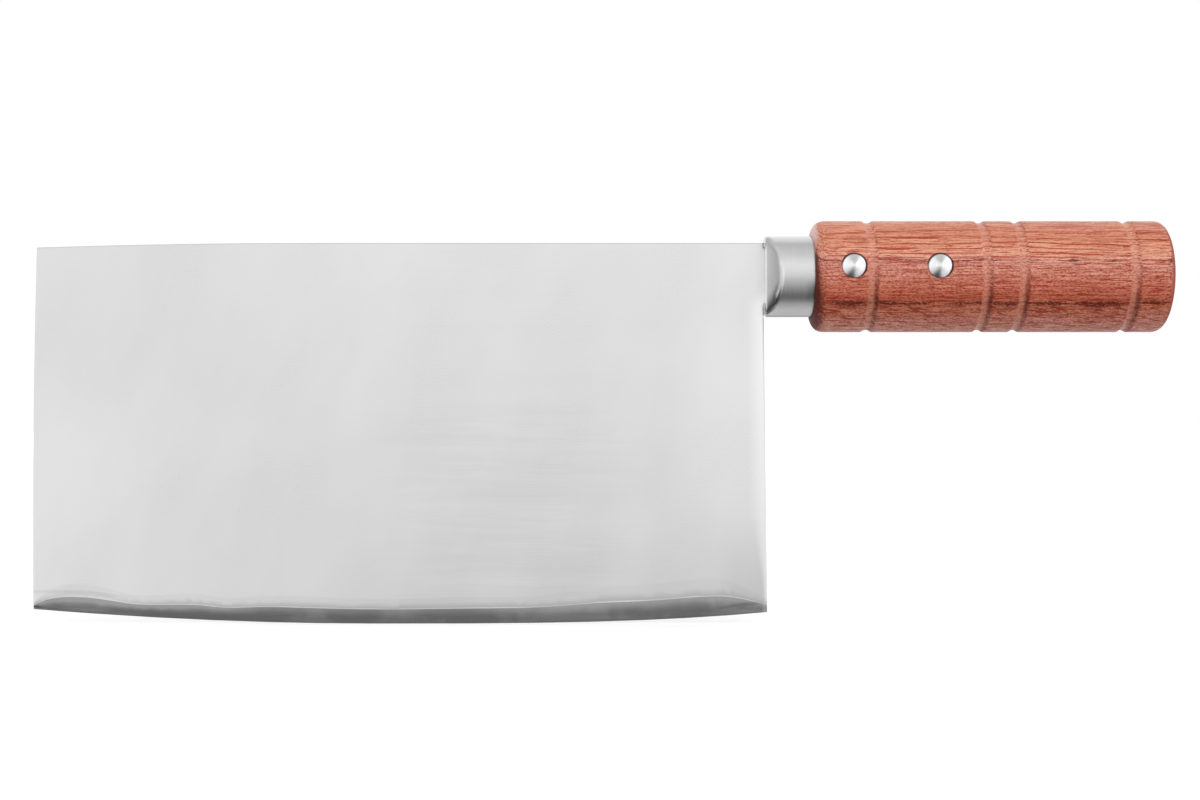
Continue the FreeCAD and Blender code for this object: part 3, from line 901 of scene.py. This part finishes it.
def makeHandleWood(look):
    material, tree, shader = newMaterial("lacquered handle wood")
    place = placeInMm(tree)
    x, y, z = parted(tree, place)

    # growth rings round the heart, drifting a little along the fibre
    grainy = {name: grainNoise(tree, place, drawn) for name, drawn in look["grain"].items()}
    heartY, heartZ = look["pith"]
    radius = lengthOf(tree, 0.0, calc(tree, "SUBTRACT", y, heartY), calc(tree, "SUBTRACT", z, heartZ))
    ring = calc(tree, "SUBTRACT", radius, look["ringStart"])
    ring = nudged(tree, ring, grainy["slow"], look["slowDrift"])
    wavy = nudged(tree, ring, grainy["quick"], look["quickDrift"])
    first, last = look["tones"][0][0], look["tones"][-1][0]
    stops = [((at - first) / (last - first), tone) for at, tone in look["tones"]]
    spread = addNode(tree, "ShaderNodeMapRange", {
        "Value": wavy, "From Min": first, "From Max": last}).outputs[0]
    colour = colourRamp(tree, spread, stops)
    bands = times(tree, rising(tree, grainy["bands"], look["tanCut"]),
                  ramped(tree, ring, look["tanRings"], *look["tanShare"]))
    colour = mixed(tree, bands, colour, look["tan"])

    # long dark lines along the growth, strongest in the light upper wood
    along, across, fixed = look["driftPlace"]
    drift = noise(tree, joined(tree, times(tree, x, along), times(tree, ring, across), fixed))
    phase = times(tree, wavy, look["linesPerMm"] * math.tau)
    phase = calc(tree, "MULTIPLY_ADD", drift, look["lineDrift"], phase)
    lines = times(tree, rising(tree, calc(tree, "SINE", phase), look["lineCut"]),
                  rising(tree, grainy["breaks"], look["breakCut"]),
                  ramped(tree, ring, look["lineRings"], *look["lineShare"]),
                  ramped(tree, ring, look["lineEnd"], 1.0, look["lineFaint"]))

    # straight fibres, short dark dashes of the open pores and a fine mottle
    fibre = rising(tree, grainy["fibre"], look["fibreCut"])
    dashes = times(tree, rising(tree, grainy["pores"], look["poreCut"]),
                   ramped(tree, ring, look["poreRings"], 1.0, look["poreFaint"]))
    mottle = times(tree, rising(tree, grainy["mottle"], look["mottleCut"]),
                   ramped(tree, ring, look["mottleRings"], *look["mottleShare"]))
    grain = calc(tree, "MULTIPLY_ADD", fibre, look["fibreShare"], most(tree, lines, dashes))

    # slanting streaks low on the side, below the lower vein
    slant = calc(tree, "MULTIPLY_ADD", x, look["streakSlant"], z)
    slanted = scaled(tree, joined(tree, x, y, slant), look["streakScale"])
    streaks = times(tree, rising(tree, noise(tree, slanted, roughness=0.55), look["streakCut"]),
                    falling(tree, ring, look["streakRings"], look["streakShare"]))
    grain = calc(tree, "ADD", mottle, most(tree, grain, streaks))
    grain = calc(tree, "MINIMUM", grain, 1.0)
    colour = mixed(tree, grain, colour, look["dark"], "MULTIPLY")

    # dark mineral veins with a soft shadow below, broken into fine dots
    dots = ramped(tree, grainy["dots"], look["dotCut"], look["dotFaint"], 1.0)
    veined = 0.0
    for number, (at, half, gaps, tone) in enumerate(look["veins"]):
        apart = 5.0 * number      # so that each vein wavers in its own way
        swayPlace = joined(tree, times(tree, x, look["swayPerMm"]), apart, 1.0)
        swellPlace = joined(tree, times(tree, x, look["swellPerMm"]), apart, 7.0)
        sway = noise(tree, swayPlace, detail=3.0, roughness=0.6)
        swell = noise(tree, swellPlace, roughness=0.6)
        off = nudged(tree, calc(tree, "SUBTRACT", ring, at), sway, look["veinSway"])
        off = nudged(tree, off, grainy["smear"], look["veinSmear"])
        thick = ramped(tree, swell, (gaps, gaps + look["swellCut"]), look["veinThin"], 2.0 * half)
        share = calc(tree, "DIVIDE", calc(tree, "ABSOLUTE", off), thick)
        offHalo = gapTo(tree, off, look["haloDrop"] * half)
        halo = times(tree, falling(tree, offHalo, sized(look["haloEdge"], half), look["haloShare"]),
                     rising(tree, swell, shifted(look["haloCut"], gaps)))
        colour = mixed(tree, halo, colour, look["dark"], "MULTIPLY")
        vein = times(tree, falling(tree, share, look["veinEdge"], look["veinShare"]), dots)
        colour = mixed(tree, vein, colour, tone)
        veined = calc(tree, "ADD", veined, vein)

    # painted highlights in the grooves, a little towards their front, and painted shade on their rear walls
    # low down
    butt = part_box("handle")[1].x / mm
    width = look["grooveWidth"]
    grooveHighlight = 0.0
    grooveShade = 0.0
    for share in look["grooves"]:
        off = calc(tree, "SUBTRACT", x, butt - (1 - share) * look["length"])
        front = gapTo(tree, off, look["grooveMiddle"] * width)
        rear = gapTo(tree, off, look["grooveShadeMiddle"] * width)
        grooveHighlight = calc(tree, "ADD", grooveHighlight, falling(tree, front, sized(look["grooveEdge"], width)))
        grooveShade = calc(tree, "ADD", grooveShade, falling(tree, rear, sized(look["grooveShadeEdge"], width)))
    colour = mixed(tree, times(tree, grooveHighlight, look["grooveShare"]), colour, look["groove"])
    grooveShade = times(tree, grooveShade, falling(tree, z, look["grooveShadeTop"], look["grooveShadeShare"]),
                 ramped(tree, z, look["grooveShadeFoot"], look["grooveShadeFaint"], 1.0),
                 ramped(tree, grainy["grooveShade"], look["grooveShadeCut"], *look["grooveShadePatches"]))
    colour = mixed(tree, grooveShade, colour, look["grooveDirt"])

    # the end grain of the butt drinks more oil, with painted shade making it darkest at its rounding
    facing = addNode(tree, "ShaderNodeNewGeometry").outputs["Normal"]
    endOn = parted(tree, facing)[0]
    endGrainShade = times(tree, rising(tree, endOn, look["endRounding"], look["endShare"]),
                  ramped(tree, endOn, look["endFlat"], 1.0, look["endFlatShare"]),
                  rising(tree, x, shifted(look["endStart"], butt)))
    colour = mixed(tree, endGrainShade, colour, look["endGrain"])

    # a painted highlight on the front rounding above, dirt and painted shade behind the bolster, and painted
    # shade round the rivets' heads
    fromSeat = calc(tree, "SUBTRACT", x, butt - look["length"])
    lightened = times(tree, falling(tree, fromSeat, look["frontHighlightWidth"], look["lightenedShare"]),
                 rising(tree, z, look["frontHighlightFoot"]))
    colour = mixed(tree, lightened, colour, look["lightened"])
    reach = ramped(tree, z, look["seatRise"], *look["seatReach"])
    dirtAndShade = useGroup(tree, jointDirtAndShade, Vector=place, Distance=fromSeat, Reach=reach)["DirtShade"]
    dirtAndShade = times(tree, dirtAndShade, falling(tree, z, look["seatTop"]))
    up = calc(tree, "SUBTRACT", z, turned["rise"])
    for centre in rivetPlaces:
        right = calc(tree, "SUBTRACT", x, centre)
        away = calc(tree, "SUBTRACT", lengthOf(tree, right, 0.0, up), turned["seat"])
        ringShade = useGroup(tree, jointDirtAndShade, Vector=place, Distance=away, Reach=look["rivetReach"])["DirtShade"]
        aside = calc(tree, "MULTIPLY_ADD", right, turned["aside"], up)
        ringShade = times(tree, ringShade, ramped(tree, aside, look["rivetRise"], look["rivetFaint"], 1.0))
        dirtAndShade = most(tree, dirtAndShade, ringShade)
    colour = mixed(tree, times(tree, dirtAndShade, look["dirtAndShadeShare"]), colour, look["dirtAndShade"])

    # lacquered, but for the pores, the veins, the dirt and painted shade, and the end grain
    feed(tree, shader.inputs["Base Color"], colour)
    bare = most(tree, dashes, dirtAndShade, grooveShade, veined, endGrainShade)
    bareSpan = (0.0, 0.8)
    feed(tree, shader.inputs["Roughness"], ramped(tree, bare, bareSpan, *look["roughness"]))
    feed(tree, shader.inputs["Coat Weight"], falling(tree, bare, bareSpan, look["lacquer"]))
    shader.inputs["Coat Roughness"].default_value = look["lacquerRoughness"]
    shader.inputs["Specular IOR Level"].default_value = look["specular"]
    height = calc(tree, "MULTIPLY_ADD", lines, look["lineDepth"], dashes)
    bumped(tree, shader, height, look["poreStrength"], look["poreDepth"], invert=True)
    return material


useOn(makeHandleWood(wood), "handle")
print("handle finished")


# Floor, light and camera

studio = {
    "front": (                    # brightness on the camera's side, by degrees above the horizon
        (-90, 0.60), (-78, 0.40), (-68, 0.22), (-55, 0.21), (-43, 0.30), (-33, 0.43),
        (-22, 0.64), (-10, 0.84), (0, 1.04), (12, 1.18), (28, 1.25), (45, 1.18), (65, 1.05), (90, 0.92),
    ),
    "back": ((-90, 0.62), (-65, 0.80), (-40, 0.74), (0, 0.76), (20, 0.88), (60, 0.90), (90, 0.86)),
    "brightest": 1.3,
    "turn": (-0.25, 0.25),        # where the front goes over into the back
    "rightBox": 0.60,             # a soft box at the right: brightness, its side, foot and top
    "rightSide": (0.32, 0.52),    # sides are parts of a direction of length one, feet and tops are degrees
    "rightFoot": (-38.0, -18.0),
    "rightTop": (38.0, 62.0),
    "lowStrip": 0.5,              # a strip below it
    "stripSides": ((0.14, 0.34), (0.5, 0.7)),
    "stripFoot": (-56.0, -42.0),
    "stripTop": (-28.0, -14.0),
    "leftBox": 0.42,              # a soft box at the left, hung lower
    "leftSides": ((-0.86, -0.68), (-0.48, -0.32)),
    "leftFoot": (-40.0, -16.0),
    "leftTop": (0.0, 30.0),
    "boxDepth": (-0.35, 0.15),    # all three end towards the back
    "backCloth": 0.30,            # the white cloth behind
    "clothSide": (0.55, 0.95),
    "clothFoot": (-30.0, 0.0),
    "card": (-0.79, -0.22, -0.57),    # towards a dark card, low at the left
    "cardEdge": (0.89, 0.965),
    "cardShade": 0.85,
    "backdrop": 1.0,
    "floorSize": 6.0,             # m
    "floor": rgb(0.55, 0.55, 0.55),
    "floorPatch": rgb(0.5, 0.5, 0.5),
    "floorPatchSize": 300.0,      # mm
    "floorPatchShare": 0.03,
    "floorGlow": 0.92,
    "floorRoughness": 0.9,
}


def skyRamp(tree, degrees, stops, top):
    share = calc(tree, "MULTIPLY_ADD", degrees, 1 / 180, 0.5)
    return colourRamp(tree, share, [((at + 90) / 180, rgb(*(3 * (value / top,)))) for at, value in stops])


def makeStudio(look):
    world = bpy.data.worlds.new("soft studio")
    scene.world = world
    world.use_nodes = True
    tree = world.node_tree
    tree.nodes.clear()
    direction = addNode(tree, "ShaderNodeTexCoord").outputs["Generated"]
    x, y, z = parted(tree, direction)
    height = times(tree, calc(tree, "ARCSINE", z), 180 / math.pi)
    front = skyRamp(tree, height, look["front"], look["brightest"])
    back = skyRamp(tree, height, look["back"], look["brightest"])
    sky = times(tree, mixed(tree, rising(tree, y, look["turn"]), front, back), look["brightest"])

    # soft boxes, a white cloth and a dark card
    boxes = times(tree, rising(tree, x, look["rightSide"], look["rightBox"]),
                  rising(tree, height, look["rightFoot"]), falling(tree, height, look["rightTop"]))
    stripLeft, stripRight = look["stripSides"]
    strip = times(tree, rising(tree, x, stripLeft, look["lowStrip"]), falling(tree, x, stripRight),
                  rising(tree, height, look["stripFoot"]))
    boxes = calc(tree, "MULTIPLY_ADD", strip, falling(tree, height, look["stripTop"]), boxes)
    farLeft, nearLeft = look["leftSides"]
    low = times(tree, falling(tree, x, nearLeft, look["leftBox"]), rising(tree, x, farLeft),
                rising(tree, height, look["leftFoot"]), falling(tree, height, look["leftTop"]))
    boxes = times(tree, calc(tree, "ADD", boxes, low), falling(tree, y, look["boxDepth"]))
    sky = calc(tree, "ADD", sky, boxes)
    cloth = times(tree, rising(tree, y, look["clothSide"]), rising(tree, height, look["clothFoot"]))
    sky = calc(tree, "MULTIPLY_ADD", cloth, look["backCloth"], sky)
    towards = addNode(tree, "ShaderNodeVectorMath", {0: direction, 1: look["card"]}, operation="DOT_PRODUCT")
    card = ramped(tree, towards.outputs[1], look["cardEdge"], 1.0, 1.0 - look["cardShade"])
    sky = times(tree, sky, card)

    # the camera itself sees a plain white backdrop
    around = addNode(tree, "ShaderNodeBackground", {"Color": sky})
    behind = addNode(tree, "ShaderNodeBackground", {"Color": rgb(1, 1, 1), "Strength": look["backdrop"]})
    seen = addNode(tree, "ShaderNodeLightPath").outputs["Is Camera Ray"]
    both = addNode(tree, "ShaderNodeMixShader", {0: seen, 1: around.outputs[0], 2: behind.outputs[0]})
    addNode(tree, "ShaderNodeOutputWorld", {"Surface": both.outputs[0]})


def makeFloor(look):
    half = look["floorSize"] / 2
    level = cadBox[0].z
    mesh = bpy.data.meshes.new("floor")
    corners = [(-half, -half, level), (half, -half, level), (half, half, level), (-half, half, level)]
    mesh.from_pydata(corners, [], [(0, 1, 2, 3)])
    floor = bpy.data.objects.new("floor", mesh)
    scene.collection.objects.link(floor)
    material, tree, shader = newMaterial("pale floor")
    place = placeInMm(tree)
    patches = useGroup(tree, cloudPatches, Vector=place, Size=look["floorPatchSize"])["Patches"]
    patches = times(tree, patches, look["floorPatchShare"])
    feed(tree, shader.inputs["Base Color"], mixed(tree, patches, look["floor"], look["floorPatch"]))
    feed(tree, shader.inputs["Emission Color"], look["floor"])
    shader.inputs["Emission Strength"].default_value = look["floorGlow"]
    shader.inputs["Roughness"].default_value = look["floorRoughness"]
    mesh.materials.append(material)
    floor.visible_glossy = False  # the knife takes its light from the soft boxes, not from the floor
    floor.visible_diffuse = False


photo = {
    "distance": 500.0,            # mm from the camera to the blade's middle plane
    "x": -130.655,
    "z": -34.5,
    "lens": 53.57,                # mm
    "sensor": 36.0,               # mm
    "clipStart": 0.01,            # m
}


def makeCamera(view):
    data = bpy.data.cameras.new("camera")
    data.lens = view["lens"]
    data.sensor_width = view["sensor"]
    data.clip_start = view["clipStart"]
    camera = bpy.data.objects.new("camera", data)
    camera.location = (view["x"] * mm, -view["distance"] * mm, view["z"] * mm)
    camera.rotation_euler = (math.pi / 2, 0, 0)
    scene.collection.objects.link(camera)
    scene.camera = camera


makeStudio(studio)
makeFloor(studio)
makeCamera(photo)
scene.view_settings.view_transform = "Standard"
print("studio ready")
